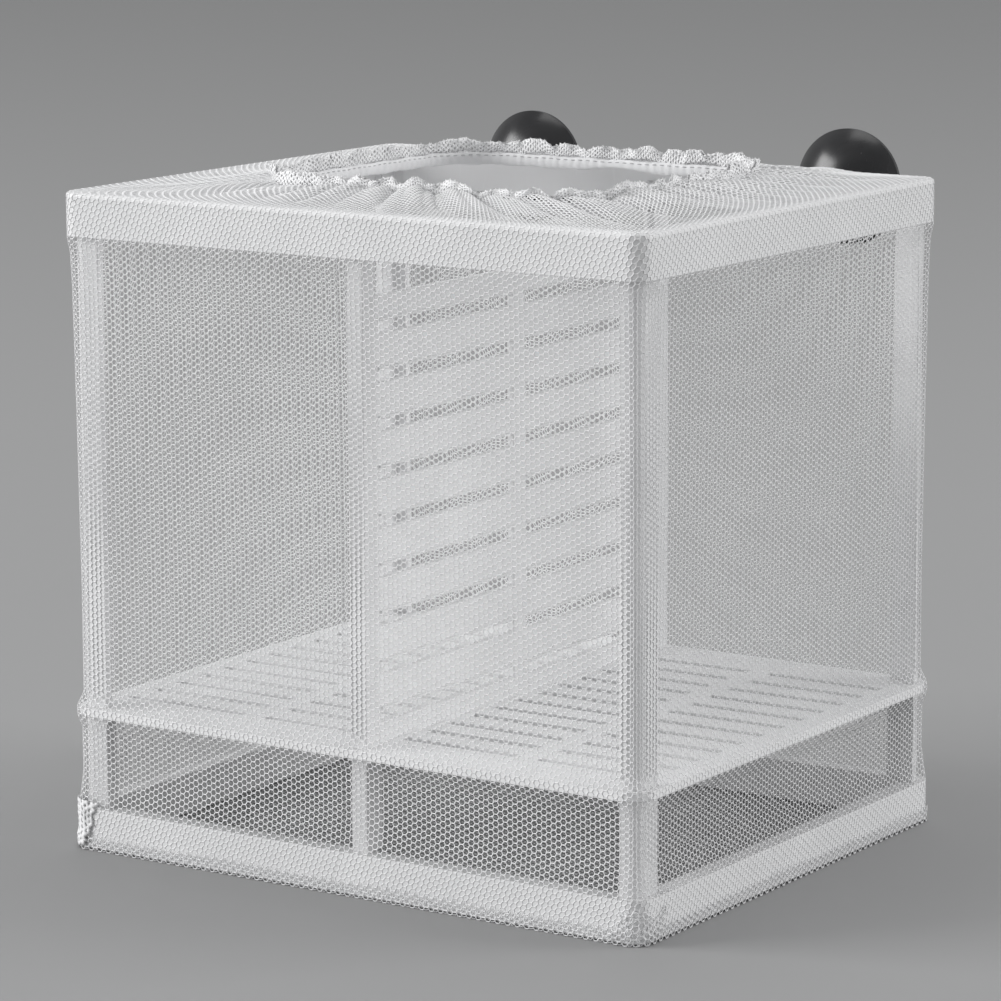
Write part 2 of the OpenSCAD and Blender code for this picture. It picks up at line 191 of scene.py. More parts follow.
@dataclass(frozen=True)
class HexLattice:
    """Threads knitted into flat-topped hexagons over a curved surface.

    Node (i, j) lies at u = 1.5 R i + s R / 4 and v = root 3 / 2 R j, where s is 1 for an
    even i + j and -1 for an odd one. Each node joins the next one up, and each even node
    the next one along. A thread is a four-sided rod from node to node.

    Attributes:
        cell: Radius R of a hexagon.
        half_width: Half of a thread's width.
        half_height: Half of a thread's thickness.
    """

    cell: float
    half_width: float = 0.145
    half_height: float = 0.06

    @property
    def column(self) -> float:
        """Distance between two columns of nodes."""
        return 1.5 * self.cell

    @property
    def row(self) -> float:
        """Distance between two rows of nodes."""
        return ROOT_3 / 2 * self.cell

    def knit(
        self,
        surface: Surface,
        columns: tuple[int, int],
        rows: tuple[int, int],
        kept: Callable[[np.ndarray], np.ndarray] | None = None,
        half_width: Callable[[np.ndarray], np.ndarray] | None = None,
    ) -> tuple[np.ndarray, np.ndarray]:
        """Knits a patch of net, closed at its cut threads.

        Args:
            surface: Point for each pair of u and v.
            columns: First column, and the one after the last.
            rows: First row, and the one after the last.
            kept: Says which nodes' points stay, for holes and cut edges.
            half_width: Half of the threads' width for each v, where it isn't the usual one.

        Returns:
            Points and four-sided faces.
        """
        i = np.arange(columns[0] - 1, columns[1] + 2)[:, None]
        j = np.arange(rows[0] - 1, rows[1] + 2)[None, :]
        even = (i + j) % 2 == 0
        u = (1.5 * i + np.where(even, 0.25, -0.25)) * self.cell
        v = self.row * j + 0 * u
        point = surface(u, v)
        step = 0.1
        along = surface(u + step, v) - surface(u - step, v)
        across = surface(u, v + step) - surface(u, v - step)
        normal = unit(np.cross(along, across))[1:-1, 1:-1]
        inner, even = point[1:-1, 1:-1], even[1:-1, 1:-1]
        beside = np.where(even[..., None], point[2:, 1:-1], point[:-2, 1:-1])
        width = self.half_width + 0 * v if half_width is None else half_width(v)
        reach = 2 / ROOT_3 * width[1:-1, 1:-1, None]
        ring = [inner + normal * self.half_height, inner - normal * self.half_height]
        for near in (beside, point[1:-1, 2:], point[1:-1, :-2]):
            ring.append(inner - reach * unit(near - inner))

        stays = np.ones(even.shape, bool) if kept is None else kept(inner)
        rises = np.zeros(even.shape, bool)
        rises[:-1, :-1] = stays[:-1, :-1] & stays[:-1, 1:]
        joins = np.zeros(even.shape, bool)
        joins[:-1, :-1] = even[:-1, :-1] & stays[:-1, :-1] & stays[1:, :-1]
        up, down, level = rises, np.zeros_like(rises), joins.copy()
        down[:, 1:] = rises[:, :-1]
        level[1:] |= joins[:-1]
        used = up | down | level
        number = np.zeros(even.shape, int)
        number[used] = 5 * np.arange(used.sum())

        top, bottom, side_h, side_u, side_d = range(5)
        faces = []

        def rod(mask: np.ndarray, ahead: tuple[int, int], sides: tuple[int, ...]) -> None:
            """Adds the four faces of each thread that starts at a marked node."""
            p = number[mask]
            q = np.roll(number, (-ahead[0], -ahead[1]), (0, 1))[mask]
            left_p, right_p, left_q, right_q = sides
            faces.append(np.stack([p + top, q + top, q + left_q, p + left_p], 1))
            faces.append(np.stack([p + top, p + right_p, q + right_q, q + top], 1))
            faces.append(np.stack([p + bottom, p + left_p, q + left_q, q + bottom], 1))
            faces.append(np.stack([p + bottom, q + bottom, q + right_q, p + right_p], 1))

        def cap(mask: np.ndarray, left: int, right: int) -> None:
            """Closes each marked node where a thread is missing."""
            p = number[mask & used]
            faces.append(np.stack([p + top, p + right, p + bottom, p + left], 1))

        rod(up & even, (0, 1), (side_h, side_d, side_u, side_h))
        rod(up & ~even, (0, 1), (side_d, side_h, side_h, side_u))
        rod(joins, (1, 0), (side_d, side_u, side_d, side_u))
        cap(~level & even, side_d, side_u)
        cap(~up & even, side_h, side_d)
        cap(~down & even, side_u, side_h)
        cap(~level & ~even, side_u, side_d)
        cap(~up & ~even, side_d, side_h)
        cap(~down & ~even, side_h, side_u)
        points = np.stack(ring, axis=2)[used].reshape(-1, 3)
        return points, np.concatenate(faces)


@dataclass(frozen=True)
class CageSizes:
    """Sizes of the CAD cage that the bag lies against.

    Attributes:
        outline: Outer outline of the net.
        mouth: Outline of the opening in the bag's top.
        stems: X of the two suction cup stems, which pass through the back.
        stem_z: Height of the stems.
        stem_hole: Radius of the hole in the net round a stem.
        rail_x: X of the divider's mid rails.
    """

    outline: RoundedLoop = RoundedLoop(152.8, 128.8, 4.5)
    mouth: RoundedLoop = RoundedLoop(89.5, 84.0, 16.0, (2.0, 2.0))
    stems: tuple[float, float] = (-40.65, 46.65)
    stem_z: float = 144.75
    stem_hole: float = 2.9
    rail_x: float = 3.0


@dataclass
class NetBag:
    """The sewn net bag: eight wall panels, the floor, the gathered collar and its frill.

    Attributes:
        cage: Sizes of what the bag lies against.
        columns: Columns of net round the box, an even number.
        wall_rows: Rows of net from the ground to just under the rim's edge.
        collar_rows: Rows from the rim's edge to the opening.
        frill_rows: Rows of the frill that stands above the opening.
        crowding: How much wider the threads are at the opening, where gathers crowd them.
        shear: How far the net runs aside per millimetre of height on the frames.
        lean: Share of the opening by which a gather leans between the rim and the opening.
        skin: How far the middle of the net lies inside the outline.
        ground: Height of the middle of the lowest net.
        edge: Radius of the net's bend over the rim's edge.
        bend_z: Height at which that bend starts.
    """

    cage: CageSizes = field(default_factory=CageSizes)
    columns: int = 452
    wall_rows: int = 208
    collar_rows: int = 42
    frill_rows: int = 6
    crowding: float = 0.1
    shear: float = 0.4
    lean: float = 0.02
    skin: float = 0.465
    ground: float = 0.14
    edge: float = 0.935
    bend_z: float = 148.6
    pieces: list[bpy.types.Object] = field(default_factory=list)
    seam: bpy.types.Object | None = None
    frill: bpy.types.Object | None = None

    def __post_init__(self) -> None:
        """Fits the cell to a whole number of columns round the box."""
        self.net = HexLattice(self.cage.outline.perimeter / (1.5 * self.columns))
        self.bend_v = self.bend_z - self.ground
        self.top_v = self.bend_v + TURN / 4 * self.edge
        self.mouth_v = self.top_v + self.collar_rows * self.net.row

    def drawn_in(self, z: np.ndarray) -> np.ndarray:
        """How far the stretched net is drawn in between the frames, shelf and ground."""
        stops = [0, 9.8, 14, 18, 28, 30, 30.9, 32.9, 36, 60, 100, 128, 136, 138.9, 139.6]
        insets = [0, 0, 0.6, 1.1, 1.1, 0.3, 0, 0, 1.55, 1.65, 1.3, 0.95, 0.65, 0.05, 0]
        return np.interp(z, stops, insets)

    def around_stems(self, point: np.ndarray) -> np.ndarray:
        """Pushes the back's threads aside, to root of distance squared plus hole squared.

        Args:
            point: Points of the net.

        Returns:
            The points with the holes for the two stems opened.
        """
        point = point.copy()
        for x in self.cage.stems:
            way = np.stack([point[..., 0] - x, point[..., 2] - self.cage.stem_z], -1)
            far = np.maximum(np.linalg.norm(way, axis=-1), 1e-6)
            fade = (point[..., 1] > 0) * (1 - smooth(far, 5, 12))
            grown = np.sqrt(far**2 + fade * (self.cage.stem_hole**2 - 1.2)) / far
            point[..., 0] = x + way[..., 0] * grown
            point[..., 2] = self.cage.stem_z + way[..., 1] * grown
        return point

    def clear_of_stems(self, point: np.ndarray) -> np.ndarray:
        """Marks the nodes that are left when the holes for the stems are cut."""
        clear = np.ones(point.shape[:-1], bool)
        for x in self.cage.stems:
            way = np.hypot(point[..., 0] - x, point[..., 2] - self.cage.stem_z)
            clear &= (way > self.cage.stem_hole) | (point[..., 1] < 0)
        return clear

    def mouth_share(self, s: np.ndarray) -> np.ndarray:
        """Share of the opening's outline that faces a place on the box's outline.

        Each quarter of the box, from corner middle to corner middle, is spread evenly over
        the same quarter of the opening, so that the net's columns run in from the corners.

        Args:
            s: Distances along the box's outline.

        Returns:
            Shares of the opening's outline, from 0 to 1.
        """
        box, mouth = self.cage.outline, self.cage.mouth
        outer = np.concatenate([[0.0], box.corner_middles, [box.perimeter]])
        inner = np.concatenate([[0.0], mouth.corner_middles, [mouth.perimeter]])
        return np.interp(np.mod(s, box.perimeter), outer, inner) / mouth.perimeter

    def fullness(self, share: np.ndarray) -> np.ndarray:
        """How much the gathers stand up round the opening: most at the front right."""
        stops = [0, 0.06, 0.13, 0.25, 0.37, 0.5, 0.62, 0.75, 0.84, 0.93, 1]
        heights = [0.95, 1, 0.95, 0.9, 0.6, 0.5, 0.45, 0.35, 0.3, 0.6, 0.95]
        return np.interp(share, stops, heights)

    def gathers(self, share: np.ndarray) -> np.ndarray:
        """Height of the gathers, 0 to 1: rounded crests between sharp valleys.

        A crest is the size of a sine to a low power, its width wanders with two slow
        waves, and a second, finer row of crests lies over the first.

        Args:
            share: Shares of the opening's outline.

        Returns:
            Heights.
        """
        angle = TURN * share
        wander = 1.1 * np.sin(3 * angle + 0.6) + 0.7 * np.sin(7 * angle + 2.1)
        broad = np.abs(np.sin(16.5 * angle + wander)) ** 0.75
        fine = np.abs(np.sin(32 * angle + 1.6 * np.sin(5 * angle))) ** 0.9
        tall = 0.78 + 0.22 * np.sin(9 * angle + 1.0) * np.sin(4 * angle + 0.4)
        return tall * (0.78 * broad + 0.22 * fine)

    def bag(self, u: np.ndarray, v: np.ndarray) -> np.ndarray:
        """The bag as one surface: wall, bend over the rim, gathered collar, frill.

        Up the wall a point is the outline less how far the net is drawn in. Over the rim
        it turns on a quarter circle. On the collar it goes straight from the outline to
        the opening and rises in gathers, and in the frill it goes up.

        Args:
            u: Distances round the box.
            v: Distances up the wall and on over the collar.

        Returns:
            The points.
        """
        z = self.ground + np.minimum(v, self.bend_v)
        sway = 0.12 * np.sin(u / 31 + z / 47) + 0.08 * np.sin(u / 13 - z / 19)
        sway = sway + self.shear * (np.maximum(z - 138, 0) + np.minimum(z - 9.8, 0))
        turn = np.clip((v - self.bend_v) / self.edge, 0, TURN / 4)
        inset = self.skin + self.drawn_in(z) + self.edge * (1 - np.cos(turn))
        outer = self.cage.outline.at(u + sway, inset)
        z = z + self.edge * np.sin(turn)

        share = self.mouth_share(u)
        mouth = self.cage.mouth
        inner = mouth.at(share * mouth.perimeter)
        t = np.clip((v - self.top_v) / (self.mouth_v - self.top_v), 0, 1)
        level = outer + (inner - outer) * t[..., None]
        full = self.fullness(share)
        crest = self.gathers(share + self.lean * (t - 1))
        swell = smooth(t, 0.42 - 0.4 * full, 0.9)
        lift = 0.25 * smooth(t, 0.02, 0.3) + 0.75 * smooth(t, 0.3, 1)
        z = z + lift + 3.3 * full * swell * crest
        z = z + 0.12 * np.sin(25 * TURN * share) * smooth(t, 0.05, 0.5) * (1 - swell)

        beyond = np.maximum(v - self.mouth_v, 0)
        up = np.clip(beyond / (self.frill_rows * self.net.row), 0, 1)
        angle = TURN * share
        scallop = np.abs(np.sin(15 * angle + 1.3 * np.sin(4 * angle + 1) + 0.9 * np.sin(9 * angle)))
        tall = 2.6 + (1.6 + 0.6 * np.sin(7 * angle + 0.5)) * scallop**0.8
        tall = tall * (1.14 - 0.6 * full) - 0.9 * full * crest
        z = z + tall * up
        lean = 0.5 * np.sin(21 * angle + np.sin(4 * angle)) + 0.35 * np.sin(66 * angle)
        outward = unit(outer - inner)
        level = level + outward * (up * (lean - 0.1) * (0.5 + up))[..., None]
        return np.concatenate([level, z[..., None]], axis=-1)

    def thread_width(self, v: np.ndarray) -> np.ndarray:
        """Half of the threads' width, which grows from the rim to the opening and on."""
        gathered = smooth(v, self.top_v, self.top_v + 0.75 * (self.mouth_v - self.top_v))
        frilled = smooth(v, self.mouth_v, self.mouth_v + 2.5 * self.net.row)
        return self.net.half_width + self.crowding * (gathered + 1.6 * frilled)

    def folded_width(self, v: np.ndarray) -> np.ndarray:
        """Half of the threads' width where the cloth lies in several layers."""
        return 5.3 * self.net.half_width + 0 * v

    def opened(self, u: np.ndarray, v: np.ndarray) -> np.ndarray:
        """The bag with its threads pushed aside round the two stems."""
        return self.around_stems(self.bag(u, v))

    def inner_frill(self, u: np.ndarray, v: np.ndarray) -> np.ndarray:
        """The folded-back layer of the frill: the outer one shifted along and inwards."""
        point = self.bag(u + 1.9, v)
        inner = self.bag(u, np.full_like(v, self.mouth_v))[..., :2]
        middle = np.array(self.cage.mouth.centre)
        point[..., :2] -= 0.75 * unit(inner - middle)
        return point

    def seam_fold(self, u: np.ndarray, v: np.ndarray) -> np.ndarray:
        """The seam allowance, folded up outside the walls' lowest strip."""
        z = self.ground + v
        wave = 0.1 * np.sin(u / 3.1) + 0.08 * np.sin(u / 1.7 + 1)
        away = -0.1 + 0.12 * smooth(v, 1.5, 3.4) * (1 + wave)
        point = self.cage.outline.at(u + 0.35 + 0.5 * wave, -away)
        height = z * (1 + 0.06 * np.sin(u / 9) + 0.04 * np.sin(u / 4.1))
        return np.concatenate([point, height[..., None]], axis=-1)

    def corner_fold(self, u: np.ndarray, v: np.ndarray) -> np.ndarray:
        """Spare cloth wrapped round a lower corner: the outline moved out, in small waves."""
        wave = np.sin(u / 1.1 + v / 2.3) + 0.7 * np.sin(v / 0.8 - u / 2.1)
        inset = 0.2 - 0.3 * (1 - smooth(v, 2.5, 5)) - 0.05 * wave
        point = self.cage.outline.at(u + 0.2 * wave, inset)
        height = self.ground + 0.05 + v * (1 + 0.02 * np.sin(u / 1.9))
        return np.concatenate([point, height[..., None]], axis=-1)

    def on_left_fold(self, point: np.ndarray) -> np.ndarray:
        """Marks the front left corner's fold, which ends in a slanting edge."""
        across = point[..., 0] + self.cage.outline.length / 2
        behind = point[..., 1] + self.cage.outline.depth / 2
        return (across < 4.2 + 0.36 * point[..., 2]) & (behind < 7.5)

    def on_right_fold(self, point: np.ndarray) -> np.ndarray:
        """Marks the front right corner's fold, which is crumpled and has ragged ends."""
        across = self.cage.outline.length / 2 - point[..., 0]
        behind = point[..., 1] + self.cage.outline.depth / 2
        ragged = 1.2 * np.sin(point[..., 2] / 1.3)
        low = point[..., 2] < 7.2 + 0.9 * np.sin(across / 1.7 + behind / 1.4)
        return low & (across < 7.5 + ragged) & (behind < 9.5 - ragged)

    def flat_net(self, u: np.ndarray, v: np.ndarray) -> np.ndarray:
        """The floor: a plane seen from below, so that its threads face down."""
        z = self.ground + 0.05 + 0.03 * np.sin(u / 17) * np.sin(v / 13)
        return np.stack([-u, v, z], axis=-1)

    def inside_outline(self, point: np.ndarray) -> np.ndarray:
        """Marks the points that lie inside the box's outline, round corners included."""
        box, reach = self.cage.outline, self.cage.outline.radius - 0.7
        x = np.maximum(np.abs(point[..., 0]) - (box.length / 2 - box.radius), 0)
        y = np.maximum(np.abs(point[..., 1]) - (box.depth / 2 - box.radius), 0)
        return np.hypot(x, y) < reach

    def panel(
        self,
        name: str,
        surface: Surface,
        columns: tuple[int, int],
        rows: tuple[int, int],
        replaces: str | None = None,
        held: str | None = None,
        kept: Callable[[np.ndarray], np.ndarray] | None = None,
        with_pieces: tuple[bpy.types.Object, ...] = (),
        half_width: Callable[[np.ndarray], np.ndarray] | None = None,
    ) -> bpy.types.Object:
        """Args:
            name: The piece's name.
            surface: Surface that it lies on.
            columns: First column, and the one after the last.
            rows: First row, and the one after the last.
            replaces: CAD node that it stands for, or None.
            held: How the cloth is held, or None for a strip that belongs to another sheet; not used.
            kept: Says which nodes stay.
            with_pieces: Strips that belong to this sheet; not used.
            half_width: Half of the threads' width, where it isn't the usual one.

        Returns:
            The piece.
        """
        points, quads = self.net.knit(surface, columns, rows, kept, half_width)
        piece = make_object(name, points, quads)
        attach(piece, "root")
        if replaces:
            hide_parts(replaces)
        self.pieces.append(piece)
        LOG.info("%s: %d faces", name, len(quads))
        return piece

    def cuts(self) -> list[int]:
        """Columns at which the sides begin: the corners' middles, from the front's left."""
        corners = self.cage.outline.corner_middles / self.net.column
        ends = [int(round(c)) for c in corners]
        return [ends[3] - self.columns, *ends]

    def build(self, finish: bpy.types.Material) -> None:
        """Knits every panel and gives it its finish.

        Args:
            finish: Material of the net.
        """
        cuts = self.cuts()
        last = self.wall_rows + self.collar_rows + self.frill_rows + 3
        whole = (0, self.columns)
        self.seam = self.panel("seam_fold", self.seam_fold, whole, (0, 5))
        folds = [self.seam]
        for label, corner, kept in (("left", 3, self.on_left_fold), ("right", 0, self.on_right_fold)):
            middle = int(self.cage.outline.corner_middles[corner] / self.net.column)
            span = (middle - 12, middle + 12)
            name, surface = f"corner_fold_{label}", self.corner_fold
            widths = self.folded_width if label == "left" else None
            folds.append(self.panel(name, surface, span, (1, 16), kept=kept, half_width=widths))
        rows, widths = (last - self.frill_rows, last), self.thread_width
        self.frill = self.panel("frill_inside", self.inner_frill, whole, rows, half_width=widths)
        for side in Side:
            first, end = cuts[side.value], cuts[side.value + 1]
            label, middle = side.name.lower(), (first + end) // 2
            back = side is Side.BACK
            for half, span in (("a", (first, middle)), ("b", (middle, end))):
                self.panel(
                    f"net_{label}_{half}",
                    self.opened if back else self.bag,
                    span,
                    (0, self.wall_rows),
                    f"bag_wall_{label}",
                    "stretched",
                    self.clear_of_stems if back else None,
                    tuple(folds) if side is Side.FRONT and half == "a" else (),
                )
            self.panel(
                f"collar_{label}",
                self.opened if back else self.bag,
                (first, end),
                (self.wall_rows, last),
                "bag_collar",
                "gathered",
                self.clear_of_stems if back else None,
                half_width=self.thread_width,
            )
        wide = int(self.cage.outline.length / 2 / self.net.column) + 2
        deep = int(self.cage.outline.depth / 2 / self.net.row) + 2
        for half, span in (("left", (0, wide)), ("right", (-wide, 0))):
            self.panel(
                f"net_floor_{half}",
                self.flat_net,
                span,
                (-deep, deep),
                "bag_floor",
                "stretched",
                self.inside_outline,
            )
        for piece in self.pieces:
            piece.data.materials.append(finish)


@dataclass
class Hem:
    """The elastic's casing round the opening and its line of stitches.

    Attributes:
        cage: Sizes of what the hem lies over.
        inset: How far the middle of the casing lies inside the opening's outline.
        middle_z: Height of the middle of the casing.
        half_height: Half of its height.
        half_thick: Half of its thickness.
        stitches: How many stitches go round.
    """

    cage: CageSizes = field(default_factory=CageSizes)
    inset: float = 0.95
    middle_z: float = 149.9
    half_height: float = 1.45
    half_thick: float = 0.7
    stitches: int = 158

    def tube(self, s: np.ndarray, around: np.ndarray, grow: float = 0.0) -> np.ndarray:
        """The casing: a tall oval carried round the opening, pleated by the elastic.

        The oval's half width and half height swell and shrink with two rows of pleats, and
        over the divider the lower edge is drawn up, so that the panel slides out under it.

        Args:
            s: Distances round the opening.
            around: Angles round the oval, 0 facing away from the opening.
            grow: How far outside the casing the point lies.

        Returns:
            The points.
        """
        share = s / self.cage.mouth.perimeter
        angle = TURN * share
        pleat = 0.6 * np.sin(148 * angle + 2 * np.sin(9 * angle))
        pleat = pleat + 0.4 * np.sin(97 * angle + 1.5 * np.sin(5 * angle))
        wide = self.half_thick + 0.06 * pleat + grow
        tall = self.half_height + 0.06 * pleat + 0.1 * np.sin(31 * angle) + grow
        inset = self.inset - wide * np.cos(around)
        point = self.cage.mouth.at(s, inset)
        near = np.exp(-(((point[..., 0] - self.cage.rail_x) / 7) ** 2))
        lower = np.sin(around) < 0
        z = self.middle_z + np.sin(around) * np.where(lower, tall * (1 - 0.62 * near), tall)
        return np.concatenate([point, z[..., None]], axis=-1)

    def casing(self) -> bpy.types.Object:
        """Makes the casing as a closed grid of rings."""
        rings, sides = 1400, 14
        s = np.arange(rings)[:, None] * self.cage.mouth.perimeter / rings
        around = np.arange(sides)[None, :] * TURN / sides + 0 * s
        points = self.tube(s + 0 * around, around).reshape(-1, 3)
        a, b = np.meshgrid(np.arange(rings), np.arange(sides), indexing="ij")
        following, beside = (a + 1) % rings, (b + 1) % sides
        corners = [a * sides + b, following * sides + b]
        corners += [following * sides + beside, a * sides + beside]
        quads = np.stack([c.ravel() for c in corners], axis=1)
        return make_object("hem_casing", points, quads)

    def stitching(self) -> bpy.types.Object:
        """Makes the stitches: short threads that dive into the casing at both ends.

        Along each stitch the thread's middle rises from under the cloth and falls back as
        a half sine, and its radius is largest in the middle.

        Returns:
            The object.
        """
        rings, sides = 7, 6
        start = np.arange(self.stitches)[:, None, None]
        along = np.linspace(0, 1, rings)[None, :, None]
        turn = (np.arange(sides) * TURN / sides)[None, None, :]
        pitch = self.cage.mouth.perimeter / self.stitches
        s = (start + 0.18 + 0.62 * along) * pitch + 0 * turn
        radius = 0.125 * np.sqrt(np.maximum(1 - (2 * along - 1) ** 4, 0.01)) + 0 * turn
        arch = 0.09 * np.sin(np.pi * along) - 0.05 + 0 * turn
        place = TURN / 2 - 0.62 + 0.0 * s
        middle = self.tube(s, place, 0.0)
        inward = unit(self.tube(s, place, 1.0) - middle)
        ahead = unit(self.tube(s + 0.05, place) - self.tube(s - 0.05, place))
        over = np.cross(ahead, inward)
        spin = np.cos(turn)[..., None] * inward + np.sin(turn)[..., None] * over
        points = middle + inward * arch[..., None] + spin * radius[..., None]
        base = np.arange(self.stitches)[:, None, None] * rings * sides
        a = np.arange(rings - 1)[None, :, None] * sides
        b = np.arange(sides)[None, None, :]
        beside = (b + 1) % sides
        corners = [base + a + b, base + a + sides + b]
        corners += [base + a + sides + beside, base + a + beside]
        full = (self.stitches, rings - 1, sides)
        walls = np.stack([np.broadcast_to(c, full).ravel() for c in corners], axis=1)
        first = (base[:, 0] + np.zeros((1, 1), int))[:, 0]
        ends = [first[:, None] + np.array(order) for order in ((0, 1, 2, 3), (0, 3, 4, 5))]
        far = first + (rings - 1) * sides
        ends += [far[:, None] + np.array(order) for order in ((3, 2, 1, 0), (5, 4, 3, 0))]
        return make_object("hem_stitches", points.reshape(-1, 3), np.concatenate([walls, *ends]))

    def build(
        self, cloth: bpy.types.Material, thread: bpy.types.Material, frill: bpy.types.Object
    ) -> None:
        """Args:
            cloth: Material of the casing.
            thread: Material of the stitches: real thread whose grey colour is painted shade along the
                stitch line.
            frill: The folded-back frill, which is the casing's own cloth; not used.
        """
        casing, stitching = self.casing(), self.stitching()
        for piece, finish in ((casing, cloth), (stitching, thread)):
            piece.data.materials.append(finish)
            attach(piece, "root")
            LOG.info("%s: %d faces", piece.name, len(piece.data.polygons))
        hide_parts("hem_elastic")


class Graph:
    """Adds and joins the nodes of one node tree."""

    def __init__(self, tree: bpy.types.NodeTree) -> None:
        """Starts on an empty tree."""
        self.tree = tree
        tree.nodes.clear()

    def add(self, kind: str, **values: object) -> bpy.types.Node:
        """Adds a node and fills its inputs.

        Args:
            kind: The node's type.
            values: Properties of the node, or inputs by name with _ for a space. A socket
                as value is linked.

        Returns:
            The node.
        """
        node = self.tree.nodes.new(kind)
        for key, value in values.items():
            if hasattr(node, key):
                setattr(node, key, value)
                continue
            socket = node.inputs[key.replace("_", " ")]
            if isinstance(value, bpy.types.NodeSocket):
                self.tree.links.new(value, socket)
            else:
                socket.default_value = value
        return node

    def group(self, tree: bpy.types.NodeTree, **values: object) -> bpy.types.Node:
        """Places a node group and fills its inputs."""
        node = self.tree.nodes.new("ShaderNodeGroup")
        node.node_tree = tree
        for key, value in values.items():
            socket = node.inputs[key.replace("_", " ")]
            if isinstance(value, bpy.types.NodeSocket):
                self.tree.links.new(value, socket)
            else:
                socket.default_value = value
        return node

    def mix(self, share: bpy.types.NodeSocket, low: tuple, high: tuple) -> bpy.types.NodeSocket:
        """A colour between two, by a share."""
        node = self.tree.nodes.new("ShaderNodeMix")
        node.data_type = "RGBA"
        self.tree.links.new(share, node.inputs[0])
        for index, value in ((6, low), (7, high)):
            if isinstance(value, bpy.types.NodeSocket):
                self.tree.links.new(value, node.inputs[index])
            else:
                node.inputs[index].default_value = (*value, 1)
        return node.outputs[2]

    def maths(self, what: str, *values: object) -> bpy.types.NodeSocket:
        """One step of arithmetic on sockets or numbers."""
        node = self.tree.nodes.new("ShaderNodeMath")
        node.operation = what
        for index, value in enumerate(values):
            if isinstance(value, bpy.types.NodeSocket):
                self.tree.links.new(value, node.inputs[index])
            else:
                node.inputs[index].default_value = value
        return node.outputs[0]

    def spread(
        self, value: bpy.types.NodeSocket, low: float, high: float, to: tuple = (0.0, 1.0)
    ) -> bpy.types.NodeSocket:
        """A value stretched from one range to another."""
        node = self.add("ShaderNodeMapRange", Value=value, From_Min=low, From_Max=high)
        node.inputs["To Min"].default_value, node.inputs["To Max"].default_value = to
        return node.outputs[0]


class Effects:
    """The node groups that several finishes share."""

    def __init__(self) -> None:
        """Makes the groups."""
        self.grain = self.make_grain()
        self.twist = self.make_twist()

    @staticmethod
    def open_group(name: str, inputs: dict[str, float], outputs: dict[str, str]) -> Graph:
        """Starts a group with a Position input, number inputs and the named outputs."""
        tree = bpy.data.node_groups.new(name, "ShaderNodeTree")
        graph = Graph(tree)
        face = tree.interface
        face.new_socket("Position", in_out="INPUT", socket_type="NodeSocketVector")
        for key, value in inputs.items():
            socket = face.new_socket(key, in_out="INPUT", socket_type="NodeSocketFloat")
            socket.default_value = value
        for key, kind in outputs.items():
            face.new_socket(key, in_out="OUTPUT", socket_type=kind)
        return graph

    def make_grain(self) -> bpy.types.NodeTree:
        """Moulded surface: fine grain, slow flow marks and small scuffs."""
        values = {"Grain Scale": 2500.0, "Flow Scale": 28.0, "Scuff": 0.4}
        outputs = {"Tone": "NodeSocketFloat", "Wear": "NodeSocketFloat"}
        outputs["Height"] = "NodeSocketFloat"
        graph = self.open_group("moulded_grain", values, outputs)
        way = graph.add("NodeGroupInput").outputs
        place = way["Position"]
        grain = graph.add("ShaderNodeTexNoise", Vector=place, Scale=way["Grain Scale"])
        grain.inputs["Detail"].default_value = 3.0
        flow = graph.add("ShaderNodeTexNoise", Vector=place, Scale=way["Flow Scale"])
        flow.inputs["Detail"].default_value = 4.0
        flow.inputs["Distortion"].default_value = 0.8
        stretched = graph.add("ShaderNodeMapping", Vector=place)
        stretched.inputs["Scale"].default_value = (1.0, 1.0, 0.12)
        scratch = graph.add("ShaderNodeTexNoise", Vector=stretched.outputs[0])
        scratch.inputs["Scale"].default_value = 1500.0
        marks = graph.spread(scratch.outputs[0], 0.62, 0.74)
        wear = graph.maths("MULTIPLY", marks, way["Scuff"])
        tone = graph.spread(flow.outputs[0], 0.3, 0.7)
        height = graph.maths("ADD", grain.outputs[0], graph.maths("MULTIPLY", tone, 0.6))
        height = graph.maths("SUBTRACT", height, graph.maths("MULTIPLY", wear, 0.7))
        graph.add("NodeGroupOutput", Tone=tone, Wear=wear, Height=height)
        return graph.tree

    def make_twist(self) -> bpy.types.NodeTree:
        """Thread: fine twisted filaments and slow changes of density."""
        values = {"Filament Scale": 9000.0, "Patch Scale": 60.0}
        outputs = {"Filament": "NodeSocketFloat", "Patch": "NodeSocketFloat"}
        graph = self.open_group("thread_twist", values, outputs)
        way = graph.add("NodeGroupInput").outputs
        wave = graph.add("ShaderNodeTexWave", Vector=way["Position"])
        wave.bands_direction = "DIAGONAL"
        graph.tree.links.new(way["Filament Scale"], wave.inputs["Scale"])
        wave.inputs["Distortion"].default_value = 3.0
        wave.inputs["Detail"].default_value = 1.0
        patch = graph.add("ShaderNodeTexNoise", Vector=way["Position"], Scale=way["Patch Scale"])
        patch.inputs["Detail"].default_value = 3.0
        soft = graph.spread(patch.outputs[0], 0.3, 0.7)
        graph.add("NodeGroupOutput", Filament=wave.outputs[1], Patch=soft)
        return graph.tree


